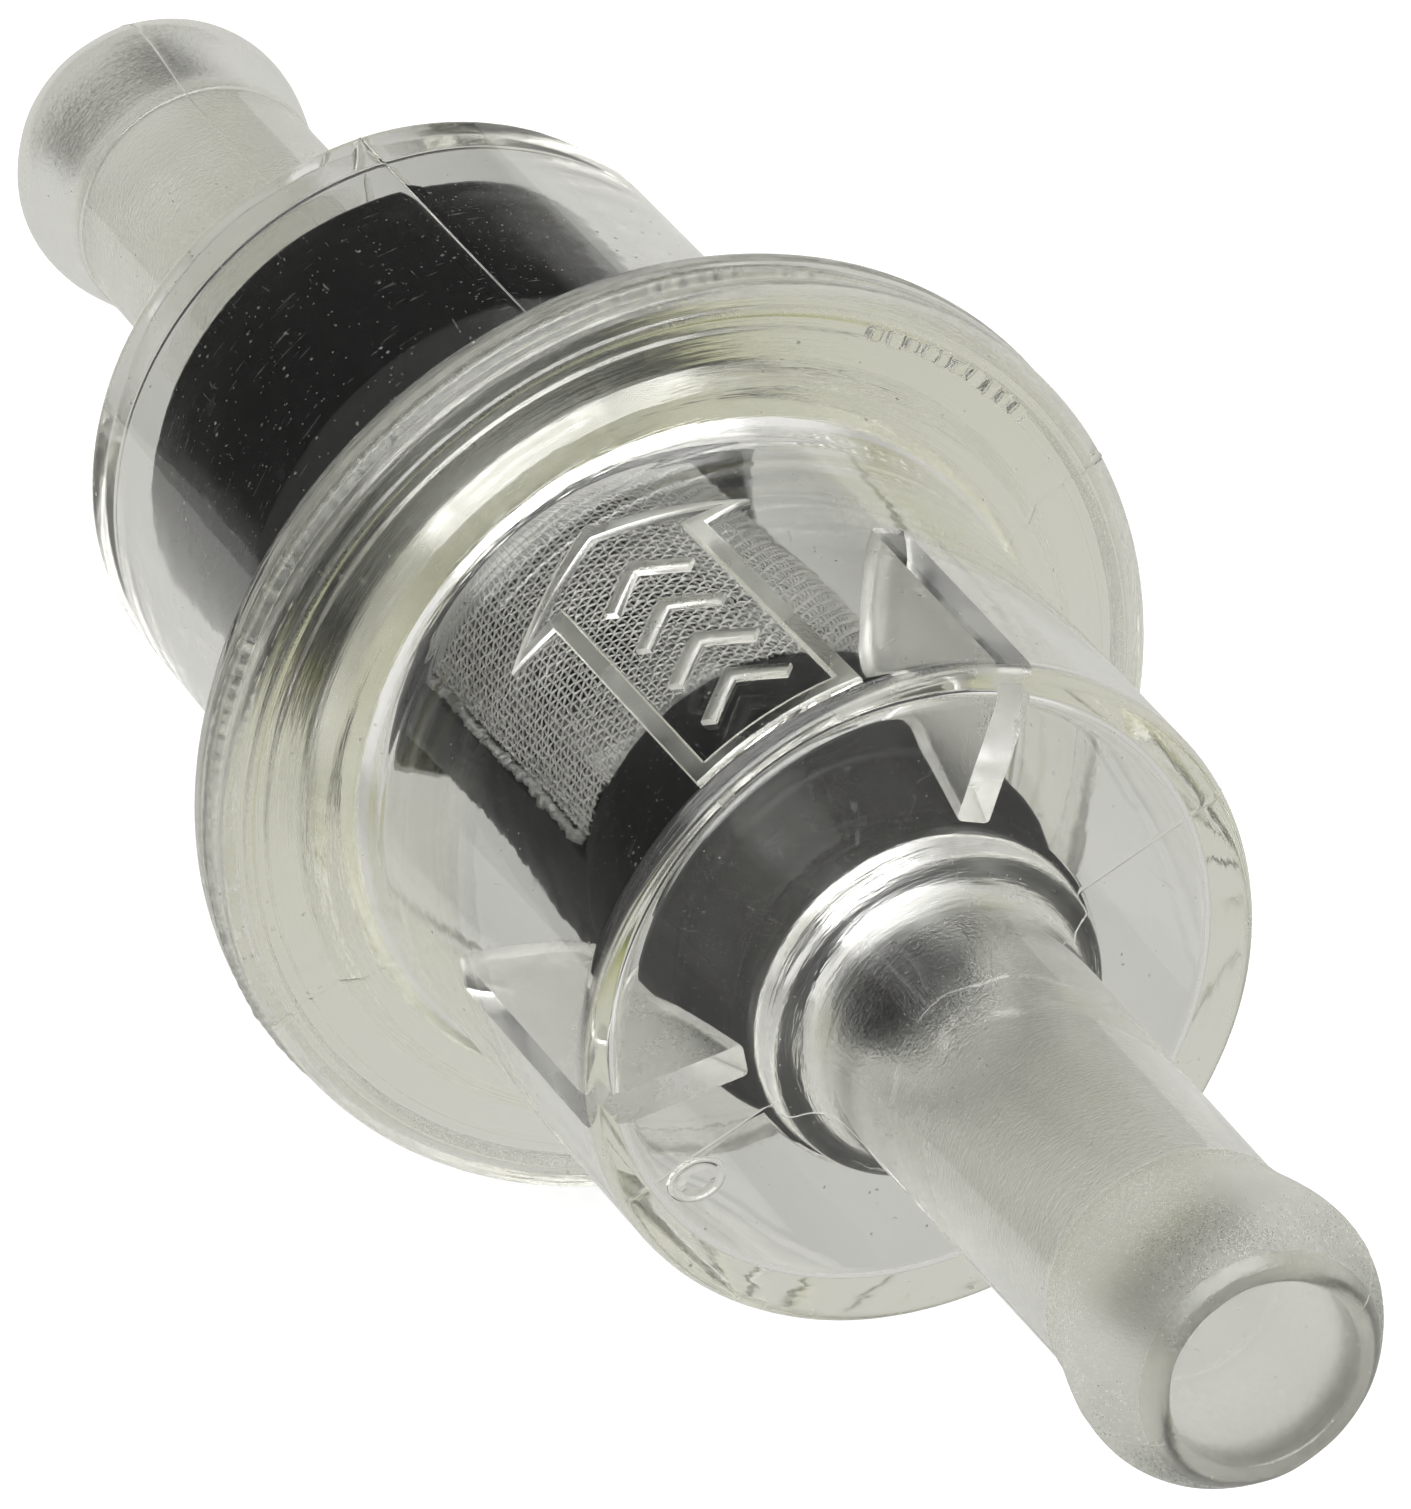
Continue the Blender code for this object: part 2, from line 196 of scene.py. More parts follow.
def spread(path, side, pitch, closed):
    """Points along side, as many on each run as the path needs at this pitch."""
    out = []
    for (a, b), ((x0, y0), (x1, y1)) in zip(pairs(path, closed), pairs(side, closed)):
        count = max(1, int(round(math.hypot(b[0] - a[0], b[1] - a[1]) / pitch)))
        out += [(x0 + (x1 - x0) * j / count, y0 + (y1 - y0) * j / count) for j in range(count)]
    if not closed:
        out.append(side[-1])
    return out


# ---------------------------------------------------------------- meshes
def link(mesh, name):
    made = bpy.data.objects.new(name, mesh)
    bpy.context.scene.collection.objects.link(made)
    return made


def new_mesh(name, verts, faces):
    """A mesh from millimetres."""
    mesh = bpy.data.meshes.new(name)
    mesh.from_pydata((np.asarray(verts, float) * MM).tolist(), [], faces)
    return mesh


def outward(mesh):
    """Drops loose vertices and turns all faces outwards."""
    work = bmesh.new()
    work.from_mesh(mesh)
    loose = [v for v in work.verts if not v.link_faces]
    bmesh.ops.delete(work, geom=loose, context="VERTS")
    bmesh.ops.recalc_face_normals(work, faces=work.faces)
    work.to_mesh(mesh)
    work.free()
    return mesh


def revolve(name, profile, angles, offset=None, closed=True):
    """An (x, r) outline turned about X; offset(x, r, angle) moves points along its normal.

    An open outline that starts or ends on the axis is capped there.
    """
    profile = np.array(profile, float)
    count, around = len(profile), len(angles)
    after, before = np.roll(profile, -1, 0), np.roll(profile, 1, 0)
    if not closed:
        after[-1], before[0] = profile[-1], profile[0]
    tangent = after - before
    tangent /= np.maximum(np.linalg.norm(tangent, axis=1), 1e-9)[:, None]
    x = np.broadcast_to(profile[:, 0], (around, count)).copy()
    r = np.broadcast_to(profile[:, 1], (around, count)).copy()
    if offset is not None:
        move = offset(x, r, angles[:, None])
        x = x + move * tangent[:, 1]
        r = r + move * -tangent[:, 0]
    verts = np.stack([x, r * np.cos(angles)[:, None], r * np.sin(angles)[:, None]], -1)
    starts_on_axis = not closed and profile[0, 1] < 1e-6
    ends_on_axis = not closed and profile[-1, 1] < 1e-6
    here = np.arange(around * count).reshape(around, count)
    there = np.roll(here, -1, 0)
    quads, tris = [], []
    for j in range(count if closed else count - 1):
        k = (j + 1) % count
        if j == 0 and starts_on_axis:
            tris.append(np.stack([np.full(around, here[0, 0]), there[:, k], here[:, k]], 1))
        elif k == count - 1 and ends_on_axis:
            tris.append(np.stack([here[:, j], there[:, j], np.full(around, here[0, k])], 1))
        else:
            quads.append(np.stack([here[:, j], there[:, j], there[:, k], here[:, k]], 1))
    faces = [face for block in quads + tris for face in block.tolist()]
    mesh = new_mesh(name, verts.reshape(-1, 3), faces)
    mesh.validate()
    return outward(mesh)


def ridge(path, section, closed, pitch):
    """A raised line on the inlet body: (offset, height) section swept along a path.

    The path is (x, y), y running along the surface from the +Z line towards +Y.
    """
    verts = []
    for sideways, height in section:
        reach = INLET_R + height
        for x, y in spread(path, beside(path, sideways, closed), pitch, closed):
            angle = y / INLET_R
            verts.append((x, reach * math.sin(angle), reach * math.cos(angle)))
    rows = len(section)
    count = len(verts) // rows
    faces = []
    for row in range(rows):
        a, b = row * count, (row + 1) % rows * count
        for i in range(count if closed else count - 1):
            j = (i + 1) % count
            faces.append((a + i, a + j, b + j, b + i))
    if not closed:
        faces.append(tuple(row * count for row in range(rows)))
        faces.append(tuple(row * count + count - 1 for row in reversed(range(rows))))
    return outward(new_mesh("ridge", verts, faces))


def slab(outline, thickness, bevel=0.14):
    """A plate in XY with softened edges, thick along Z."""
    base = [tuple(p) for p in outline]
    area = sum(x0 * y1 - x1 * y0 for (x0, y0), (x1, y1) in pairs(base, True))
    inward = bevel if area > 0 else -bevel
    small = beside(base, inward, True)
    middle = beside(base, inward * 0.3, True)
    half = thickness / 2
    layers = [
        (small, -half), (middle, -half + bevel * 0.3), (base, -half + bevel),
        (base, half - bevel), (middle, half - bevel * 0.3), (small, half),
    ]
    count = len(base)
    verts = [(x, y, z) for ring, z in layers for x, y in ring]
    faces = []
    for layer in range(len(layers) - 1):
        a, b = layer * count, (layer + 1) * count
        for i in range(count):
            j = (i + 1) % count
            faces.append((a + i, a + j, b + j, b + i))
    faces.append(tuple(reversed(range(count))))
    faces.append(tuple(range((len(layers) - 1) * count, len(layers) * count)))
    return outward(new_mesh("slab", verts, faces))


def tubes(name, paths, radius, sides):
    """Round threads along paths, an array (threads, points, 3)."""
    paths = np.asarray(paths, float)
    threads, points, _ = paths.shape
    along = np.gradient(paths, axis=1)
    along /= np.linalg.norm(along, axis=2, keepdims=True)
    radial = paths.copy()
    radial[..., 0] = 0
    radial /= np.linalg.norm(radial, axis=2, keepdims=True)
    across = np.cross(along, radial)
    across /= np.linalg.norm(across, axis=2, keepdims=True)
    up = np.cross(across, along)
    angles = (np.arange(sides) * TAU / sides)[None, None, :, None]
    ring = np.cos(angles) * across[:, :, None, :] + np.sin(angles) * up[:, :, None, :]
    verts = (paths[:, :, None, :] + radius * ring).reshape(-1, 3)
    left = np.arange(threads * points * sides).reshape(threads, points, sides)
    right = np.roll(left, -1, 2)
    quads = np.stack([left[:, 1:], right[:, 1:], right[:, :-1], left[:, :-1]], -1)
    mesh = new_mesh(name, verts, quads.reshape(-1, 4).tolist())
    mesh.validate()
    return mesh


def joined(name, meshes):
    work = bmesh.new()
    for part in meshes:
        work.from_mesh(part)
    mesh = bpy.data.meshes.new(name)
    work.to_mesh(mesh)
    work.free()
    return mesh


def combined(name, mesh, other, operation):
    """The boolean of two meshes, as a new mesh."""
    target, tool = link(mesh, name + "_a"), link(other, name + "_b")
    step = target.modifiers.new("cut", "BOOLEAN")
    step.operation = operation
    step.solver = "EXACT"
    step.object = tool
    bpy.context.view_layer.update()
    graph = bpy.context.evaluated_depsgraph_get()
    made = bpy.data.meshes.new_from_object(target.evaluated_get(graph))
    made.name = name
    bpy.data.objects.remove(target, do_unlink=True)
    bpy.data.objects.remove(tool, do_unlink=True)
    return made


def tag(mesh, materials, regions):
    """Gives faces in each (material, x from, x to, r from, r to) its slot; later ones win."""
    centres = np.zeros(len(mesh.polygons) * 3)
    mesh.polygons.foreach_get("center", centres)
    centres = centres.reshape(-1, 3) * 1000
    x, r = centres[:, 0], np.hypot(centres[:, 1], centres[:, 2])
    slots = np.zeros(len(x), np.int32)
    for material, x_from, x_to, r_from, r_to in regions:
        inside = (x > x_from) & (x < x_to) & (r > r_from) & (r < r_to)
        slots[inside] = materials.index(material)
    mesh.polygons.foreach_set("material_index", slots)


def finished(mesh, name, materials, replaced=None, sharp=38, weighted=True):
    for material in materials:
        mesh.materials.append(material)
    mesh.shade_smooth()
    mesh.set_sharp_from_angle(angle=math.radians(sharp))
    made = link(mesh, name)
    if weighted:
        normals = made.modifiers.new("normals", "WEIGHTED_NORMAL")
        normals.keep_sharp = True
        normals.weight = 60
    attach(made, "root")
    if replaced:
        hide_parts(replaced)


# ------------------------------------------------------------- shader nodes
class Nodes:
    """Short hand for building a node tree."""

    def __init__(self, owner):
        owner.use_nodes = True
        self.tree = owner.node_tree
        self.tree.nodes.clear()

    def add(self, kind, inputs=None, **settings):
        node = self.tree.nodes.new(kind)
        for key, value in settings.items():
            setattr(node, key, value)
        for key, value in (inputs or {}).items():
            if isinstance(value, bpy.types.NodeSocket):
                self.tree.links.new(value, node.inputs[key])
            else:
                node.inputs[key].default_value = value
        return node

    def maths(self, operation, *values, clamp=False):
        inputs = dict(enumerate(values))
        return self.add("ShaderNodeMath", inputs, operation=operation, use_clamp=clamp).outputs[0]

    def plus(self, a, b, clamp=False):
        return self.maths("ADD", a, b, clamp=clamp)

    def times(self, a, b):
        return self.maths("MULTIPLY", a, b)

    def larger(self, a, b):
        return self.maths("MAXIMUM", a, b)

    def ramp(self, value, start, stop, low=0.0, high=1.0, kind="SMOOTHSTEP"):
        """low before start, high after stop, and a blend between."""
        inputs = {"Value": value, "From Min": start, "From Max": stop,
                  "To Min": low, "To Max": high}
        return self.add("ShaderNodeMapRange", inputs, interpolation_type=kind).outputs["Result"]

    def vector(self, x, y, z):
        return self.add("ShaderNodeCombineXYZ", {0: x, 1: y, 2: z}).outputs[0]

    def noise(self, place, scale, detail=3.0, rough=0.5):
        inputs = {"Vector": place, "Scale": scale, "Detail": detail, "Roughness": rough}
        return self.add("ShaderNodeTexNoise", inputs).outputs["Fac"]

    def mix(self, factor, a, b):
        inputs = {"Factor": factor, "A": a, "B": b}
        return self.add("ShaderNodeMix", inputs, data_type="RGBA").outputs["Result"]

    def bump(self, height, depth, strength=0.5, normal=None):
        """depth is in millimetres."""
        inputs = {"Height": height, "Distance": depth * MM, "Strength": strength}
        if normal is not None:
            inputs["Normal"] = normal
        return self.add("ShaderNodeBump", inputs).outputs["Normal"]

    def point(self):
        """Object coordinates in millimetres."""
        place = self.add("ShaderNodeTexCoord").outputs["Object"]
        inputs = {0: place, "Scale": 1000.0}
        return self.add("ShaderNodeVectorMath", inputs, operation="SCALE").outputs[0]

    def polar(self, point):
        """x, distance from the axis and angle round it."""
        x, y, z = self.add("ShaderNodeSeparateXYZ", {0: point}).outputs
        r = self.maths("SQRT", self.plus(self.times(y, y), self.times(z, z)))
        return x, r, self.maths("ARCTAN2", z, y)

    def specks(self, chart, scale, size, share):
        """Small round marks in a share of the cells: 1 inside a mark."""
        inputs = {"Vector": chart, "Scale": scale}
        cells = self.add("ShaderNodeTexVoronoi", inputs, voronoi_dimensions="2D")
        near = self.ramp(cells.outputs["Distance"], size * 0.55, size, low=1.0, high=0.0)
        pick = self.add("ShaderNodeSeparateColor", {0: cells.outputs["Color"]}).outputs[0]
        return self.times(near, self.ramp(pick, 1 - share - 0.01, 1 - share + 0.01))


# ------------------------------------------------------------- materials
def clear_material(name, rough=0.03, frost=0.0, tint=(0.985, 0.986, 0.975), lines=0.0):
    """Clear plastic; frost is extra grainy roughness, lines the depth of turned marks in mm."""
    material = bpy.data.materials.new(name)
    nodes = Nodes(material)
    point = nodes.point()
    x, r, angle = nodes.polar(point)
    wide = nodes.noise(point, scale=0.28, detail=2.0)
    fine = nodes.noise(point, scale=2.4)

    # dirt specks, on a chart unrolled at a radius of 10 mm
    chart = nodes.vector(nodes.plus(x, r), nodes.times(angle, 10.0), 0.0)
    dust = nodes.larger(nodes.specks(chart, scale=0.8, size=0.055, share=0.05),
                        nodes.specks(chart, scale=2.2, size=0.07, share=0.018))
    dirt_strength, dirt_colour = 0.7, (0.10, 0.095, 0.085, 1.0)
    colour = nodes.mix(nodes.times(dust, dirt_strength), (*tint, 1.0), dirt_colour)

    patches = nodes.ramp(wide, start=0.35, stop=0.7, low=rough * 0.5, high=rough * 1.7)
    scuffs = nodes.ramp(fine, start=0.58, stop=0.72, low=0.0, high=0.05)
    roughness = nodes.plus(patches, scuffs)
    normal = nodes.bump(nodes.noise(point, scale=0.55, detail=2.0), depth=0.012)
    normal = nodes.bump(fine, depth=0.0012, normal=normal)
    if lines > 0:
        # stretched round the part, fine along x and r
        around = nodes.vector(nodes.times(x, 3.6), nodes.times(r, 3.6), nodes.times(angle, 2.0))
        rings = nodes.noise(around, scale=1.3, rough=0.65)
        normal = nodes.bump(rings, depth=lines, strength=0.8, normal=normal)
    if frost > 0:
        grain = nodes.noise(point, scale=9.0, detail=4.0, rough=0.65)
        frosting = nodes.ramp(grain, start=0.3, stop=0.7, low=frost * 0.7, high=frost * 1.2)
        roughness = nodes.plus(roughness, frosting)
        normal = nodes.bump(grain, depth=0.022, strength=0.8, normal=normal)
    dust_roughness = 0.5
    roughness = nodes.plus(roughness, nodes.times(dust, dust_roughness), clamp=True)

    surface = nodes.add("ShaderNodeBsdfPrincipled", {
        "Transmission Weight": 1.0, "IOR": 1.49, "Base Color": colour,
        "Roughness": roughness, "Normal": normal,
    })
    volume = nodes.add("ShaderNodeVolumeAbsorption", {
        "Color": (0.80, 0.81, 0.50, 1.0), "Density": 5.2,
    })
    nodes.add("ShaderNodeOutputMaterial",
              {"Surface": surface.outputs[0], "Volume": volume.outputs[0]})
    return material


def black_material(name, rough, shine=0.32, dark_end=False):
    """Dusty, scratched black plastic; dark_end sets its own tone on the face towards -X."""
    material = bpy.data.materials.new(name)
    nodes = Nodes(material)
    point = nodes.point()
    x, r, angle = nodes.polar(point)

    # dust, on a chart unrolled at a radius of 7 mm
    chart = nodes.vector(nodes.plus(x, r), nodes.times(angle, 7.0), 0.0)
    dust = nodes.larger(nodes.specks(chart, scale=1.1, size=0.06, share=0.09),
                        nodes.specks(chart, scale=4.6, size=0.14, share=0.11))

    # scratches: one set is thin along x and the other thin round the axis
    warp = nodes.noise(nodes.vector(x, nodes.times(angle, 6.0), r), scale=0.6, detail=2.0)
    scratch_sets = []
    for x_scale, angle_scale, warp_scale, scale, start, stop in (
        (11.0, 5.0, 6.0, 1.0, 0.685, 0.735),
        (0.8, 70.0, 9.0, 0.9, 0.70, 0.745),
    ):
        stretched = nodes.vector(nodes.times(x, x_scale), nodes.times(angle, angle_scale),
                                 nodes.times(warp, warp_scale))
        noise = nodes.noise(stretched, scale=scale, detail=2.0)
        scratch_sets.append(nodes.ramp(noise, start=start, stop=stop))
    scratch = nodes.larger(*scratch_sets)

    black = 0.003
    colour = (black, black, black * 1.08, 1.0)
    if dark_end:
        on_end = nodes.ramp(x, start=-13.12, stop=-13.2)
        colour = nodes.mix(on_end, colour, (0.003, 0.003, 0.0035, 1.0))
    dust_strength, dust_colour = 0.6, (0.22, 0.22, 0.21, 1.0)
    scratch_strength, scratch_colour = 0.5, (0.10, 0.10, 0.10, 1.0)
    colour = nodes.mix(nodes.times(dust, dust_strength), colour, dust_colour)
    colour = nodes.mix(nodes.times(scratch, scratch_strength), colour, scratch_colour)

    haze_roughness, mark_roughness = 0.12, 0.35
    haze = nodes.ramp(nodes.noise(point, scale=0.5, detail=4.0), start=0.4, stop=0.75)
    roughness = nodes.plus(nodes.times(haze, haze_roughness), rough)
    marks = nodes.times(nodes.larger(dust, scratch), mark_roughness)
    roughness = nodes.plus(roughness, marks, clamp=True)
    normal = nodes.bump(nodes.noise(point, scale=1.1, detail=2.0), depth=0.02)
    normal = nodes.bump(scratch, depth=0.012, normal=normal)
    surface = nodes.add("ShaderNodeBsdfPrincipled", {
        "Specular IOR Level": shine, "Base Color": colour,
        "Roughness": roughness, "Normal": normal,
    })
    nodes.add("ShaderNodeOutputMaterial", {"Surface": surface.outputs[0]})
    return material


def nylon_material(name, grey):
    material = bpy.data.materials.new(name)
    nodes = Nodes(material)
    point = nodes.point()
    mottle = nodes.noise(point, scale=1.3)
    dull = (grey * 0.85, grey * 0.85, grey * 0.82, 1.0)
    bright = (grey * 1.1, grey * 1.1, grey * 1.05, 1.0)
    grain = nodes.noise(point, scale=14.0, detail=2.0)
    surface = nodes.add("ShaderNodeBsdfPrincipled", {
        "Base Color": nodes.mix(mottle, dull, bright),
        "Roughness": nodes.ramp(mottle, start=0.3, stop=0.7, low=0.28, high=0.5),
        "Normal": nodes.bump(grain, depth=0.01),
    })
    nodes.add("ShaderNodeOutputMaterial", {"Surface": surface.outputs[0]})
    return material


clear_inlet = clear_material("clear_inlet", rough=0.025)
clear_outlet = clear_material("clear_outlet", rough=0.035)
turned = clear_material("clear_turned", rough=0.09, lines=0.045)
frosted = clear_material("clear_frosted", rough=0.06, frost=0.26, tint=(1.0, 1.0, 0.985))
weld_face = clear_material("clear_weld_face", rough=0.13, lines=0.03)
bore = clear_material("clear_bore", rough=0.10, frost=0.08, lines=0.01, tint=(1.0, 1.0, 0.99))
hazed = clear_material("clear_hazed", rough=0.10, lines=0.012)
weld_clear = clear_material("weld_clear", rough=0.08, frost=0.04, lines=0.01,
                            tint=(0.985, 0.985, 0.97))
black_base = black_material("black_base", rough=0.16)
black_cage = black_material("black_cage", rough=0.42, shine=0.13, dark_end=True)
nylon = nylon_material("nylon_threads", grey=0.24)
# the ribs get a darker tint than the rest of the clear plastic: painted shade that dims them
rib_clear_painted_shade = clear_material("clear_rib_painted_shade", rough=0.14, frost=0.06, tint=(0.84, 0.84, 0.825))
ridge_clear = clear_material("clear_ridge", rough=0.26, frost=0.06)
rim = clear_material("clear_rim", rough=0.20)
boss = clear_material("clear_boss", rough=0.18, lines=0.05)

# --------------------------------------------------------- housing surfaces
# (waves round the part, phase, strength) of a slight unevenness
WAVES = [(count, rng.uniform(0, TAU), rng.uniform(0.2, 1.0)) for count in (2, 3, 5, 7, 11, 13)]


def unevenness(x, angle):
    total = np.zeros_like(x)
    for count, phase, strength in WAVES:
        total = total + strength * np.sin(count * angle + phase + x * 0.35)
    return total


def housing_surface(lines, height, outside):
    """Fine raised parting lines where outside(x, r) holds, and unevenness off the weld."""
    half_width = math.radians(0.30)

    def move(x, r, angle):
        raised = np.zeros_like(x)
        for line in lines:
            away = np.abs((angle - math.radians(line) + math.pi) % TAU - math.pi)
            flange = np.where(r > 11.3, 2.0, 1.0)
            raised = raised + height * np.clip(1 - away / half_width, 0, 1) * flange
        return raised * outside(x, r) + 0.006 * unevenness(x, angle) * (np.abs(x) > 0.6)

    return move


# Outer side of a nipple as (distance inwards, r), each run from its own origin.
NIPPLE_LIP = [(0.30, BORE_R), (0.06, 2.84), (0.0, 3.0), (0.0, 3.22), (0.10, 3.40), (0.36, 3.63)]
NIPPLE_BEAD = [
    (0.36, 3.63), (0.85, 3.97), (1.5, 4.31), (2.15, 4.48), (2.75, 4.505), (3.5, 4.42),
    (4.75, 4.11), (5.35, 4.0), (5.62, 3.985),
]
NIPPLE_TUBE = [(5.62, 3.985), (5.68, 3.93), (5.9, 3.92), (9.0, 3.94), (14.0, 3.97)]
NIPPLE_ROOT = [  # from the root
    (-1.9, 4.0), (-0.95, 4.10), (-0.35, 4.38), (-0.08, 4.70), (0.03, 4.93),
    (0.2, 5.10), (0.5, 5.15),
]
NIPPLE_FOOT = [(-0.25, 5.16), (-0.06, 5.22), (0.0, NIPPLE_FOOT_R)]  # from the end face
NIPPLE_BOSS = 1.15  # the root's distance outwards from the end face


def nipple(tip, inward, end_x):
    """From the tip to the end face; inward is +1 or -1 along X."""
    def placed(origin, table):
        return [(origin + inward * distance, r) for distance, r in table]

    root = end_x - inward * NIPPLE_BOSS
    lip, bead = chaikin(placed(tip, NIPPLE_LIP)), chaikin(placed(tip, NIPPLE_BEAD))
    tube = placed(tip, NIPPLE_TUBE) + placed(root, NIPPLE_ROOT) + placed(end_x, NIPPLE_FOOT)
    return lip[:-1] + bead[:-1] + chaikin(tube)


# ------------------------------------------------------------ inlet half
# (x, r, fillet) from the weld face over the flange to the cove behind it
INLET_FLANGE = [
    (-0.385, 10.4, 0.0), (-0.385, 13.78, 0.06), (-0.62, 14.22, 0.12), (-0.95, 14.46, 0.25),
    (-1.42, FLANGE_R, 0.34), (-1.42, 13.84, 0.07), (-1.50, 13.76, 0.05), (-1.50, 13.62, 0.05),
    (-1.42, 13.52, 0.05), (-1.30, 13.40, 0.07), (-1.30, 13.14, 0.07), (-1.42, 13.04, 0.07),
    (-1.42, 12.12, 0.22), (-1.99, 11.55, 0.22), (-2.03, 11.40, 0.06),
]
# quarter ellipse down to the body
INLET_COVE = [(-3.35 + 1.30 * math.sin(a), 11.26 - 0.96 * math.cos(a), 0.0)
              for a in np.radians(np.arange(90, -1, -7.5))]
INLET_BODY = [(INLET_END, INLET_R, 0.30), (INLET_END, NIPPLE_FOOT_R, 0.0)]
INLET_INSIDE = [
    (-39.30, BORE_R, 0.0), (-16.45, BORE_R, 0.12), (-16.45, 9.3, 0.45), (-2.2, 9.3, 1.2),
    (-0.385, 9.55, 0.10), (-0.385, 10.4, 0.0),
]
RIB = [  # (x, r, fillet)
    (-17.05, 5.25, 0), (-16.4, 5.3, 0.2), (-13.4, 5.95, 0.4), (-12.6, 6.22, 0.4),
    (-10.2, 6.25, 0.4), (-9.6, 6.55, 0.5), (-9.1, 7.1, 0.8), (-8.5, 8.1, 0.8),
    (-7.95, 9.0, 0.4), (-7.7, 9.8, 0), (-17.05, 9.8, 0),
]
ARROW = [  # (x, distance round the surface)
    (-16.5, -2.3), (-6.6, -2.05), (-6.35, -3.45), (-4.65, 0.5), (-6.85, 4.25),
    (-6.85, 2.65), (-16.5, 2.6),
]
# (sideways, height) across a raised line
ARROW_SECTION = [
    (-0.30, -0.25), (-0.285, 0.12), (-0.265, 0.185), (-0.225, 0.22), (-0.12, 0.225),
    (0.12, 0.225), (0.225, 0.22), (0.265, 0.185), (0.285, 0.12), (0.30, -0.25),
]
CHEVRON_SECTION = [
    (-0.25, -0.25), (-0.235, 0.10), (-0.21, 0.17), (-0.16, 0.21), (0.0, 0.22),
    (0.16, 0.21), (0.21, 0.17), (0.235, 0.10), (0.25, -0.25),
]
CHEVRON_PITCH = 2.2
GATE = [  # (x, r, fillet) of a low ring with a raised middle, about its own axis
    (-0.07, 0.0, 0), (-0.09, 0.34, 0.1), (-0.05, 0.50, 0.08), (-0.05, 0.58, 0.06),
    (-0.12, 0.66, 0.06), (-0.11, 0.74, 0.08), (0.0, 0.80, 0.1), (0.45, 0.80, 0), (0.45, 0.0, 0),
]
# material, x from, x to, r from, r to
INLET_REGIONS = (
    (turned, -2.6, ANY, 10.0, ANY),              # shoulder and flange
    (frosted, -39.25, -33.95, 3.3, ANY),         # nipple's bead
    (weld_face, -0.5, ANY, 9.7, ANY),
    (bore, -ANY, -17.6, -ANY, 3.1),
    (bore, -ANY, -39.2, -ANY, ANY),              # lip
    (rib_clear_painted_shade, -16.3, -7.6, 5.0, 9.22),
    (ridge_clear, -17.2, -4.0, 10.36, ANY),      # arrow and chevrons
    (rim, -ANY, -17.0, 9.7, ANY),
    (frosted, -1.7, -1.43, 12.9, 13.75),         # lumps
    (boss, -19.8, -17.5, 3.6, 5.6),
)


def gate_mark():
    """On the inlet end face."""
    mark = revolve("gate", rounded(GATE, closed=False, step=20), turns(40), closed=False)
    angle, distance = math.radians(-7.5), 8.1
    place = Vector((INLET_END, distance * math.cos(angle), distance * math.sin(angle))) * MM
    mark.transform(Matrix.Translation(place) @ Matrix.Rotation(math.radians(20), 4, "X")
                   @ Matrix.Diagonal((1, 1.15, 0.9, 1)))
    return mark


def weld_lump(number):
    """One of a row of blocky lumps on the flange's -X face."""
    degrees = SPIN + 62 + number * 2.75 + rng.uniform(-0.4, 0.4)
    width, height = rng.uniform(0.40, 0.58), rng.uniform(0.34, 0.55)
    twist, tilt = rng.uniform(-0.25, 0.25), rng.uniform(-0.2, 0.2)
    work = bmesh.new()
    bmesh.ops.create_cube(work, size=1.0)
    bmesh.ops.bevel(work, geom=work.edges[:], offset=0.12, segments=2, affect="EDGES")
    for v in work.verts:
        v.co = Vector((v.co.x * 0.36, v.co.y * height, v.co.z * width)) * MM
    lump = bpy.data.meshes.new("lump")
    work.to_mesh(lump)
    work.free()
    angle, distance = math.radians(degrees), 13.28
    place = Vector((-1.35, distance * math.cos(angle), distance * math.sin(angle))) * MM
    lump.transform(Matrix.Translation(place) @ Matrix.Rotation(angle, 4, "X")
                   @ Matrix.Rotation(twist, 4, "X") @ Matrix.Rotation(tilt, 4, "Y"))
    return lump


def build_inlet():
    outer = rounded(INLET_FLANGE + INLET_COVE + INLET_BODY, closed=False)[:-1]
    outer += list(reversed(nipple(INLET_TIP, 1, INLET_END)))
    inner = rounded(INLET_INSIDE, closed=False)
    profile = clean(supported(clean(outer + inner[1:-1])))

    def outside(x, r):
        return (x < -0.7) & ((r > 9.9) | ((x < -17.2) & (r > 3.3)))

    surface = housing_surface(INLET_LINES, 0.016, outside)
    shell = revolve("inlet_shell", profile, turns(192, INLET_LINES), surface)

    details = []
    rib_outline = clean(rounded(RIB, step=15))
    for degrees in (12.5, 132.5, 252.5):
        rib = slab(rib_outline, 1.05)
        rib.transform(Matrix.Rotation(math.radians(degrees), 4, "X"))
        details.append(rib)
    details.append(ridge(ARROW, ARROW_SECTION, True, 0.45))
    for number in range(4):
        x = -14.9 + CHEVRON_PITCH * number
        chevron = [(x, -1.2), (x + 1.2, 0.15), (x, 1.5)]
        details.append(ridge(chevron, CHEVRON_SECTION, False, 0.4))
    details.append(gate_mark())
    lumps = [weld_lump(number) for number in range(10)]

    mesh = shell
    for extra in [joined("inlet_extras", details)] + lumps:
        mesh = combined("inlet_housing_visual", mesh, extra, "UNION")
    materials = [clear_inlet, turned, frosted, weld_face, bore, rib_clear_painted_shade, ridge_clear, rim, boss]
    tag(mesh, materials, INLET_REGIONS)
    finished(mesh, "inlet_housing_clear", materials, "inlet_housing")


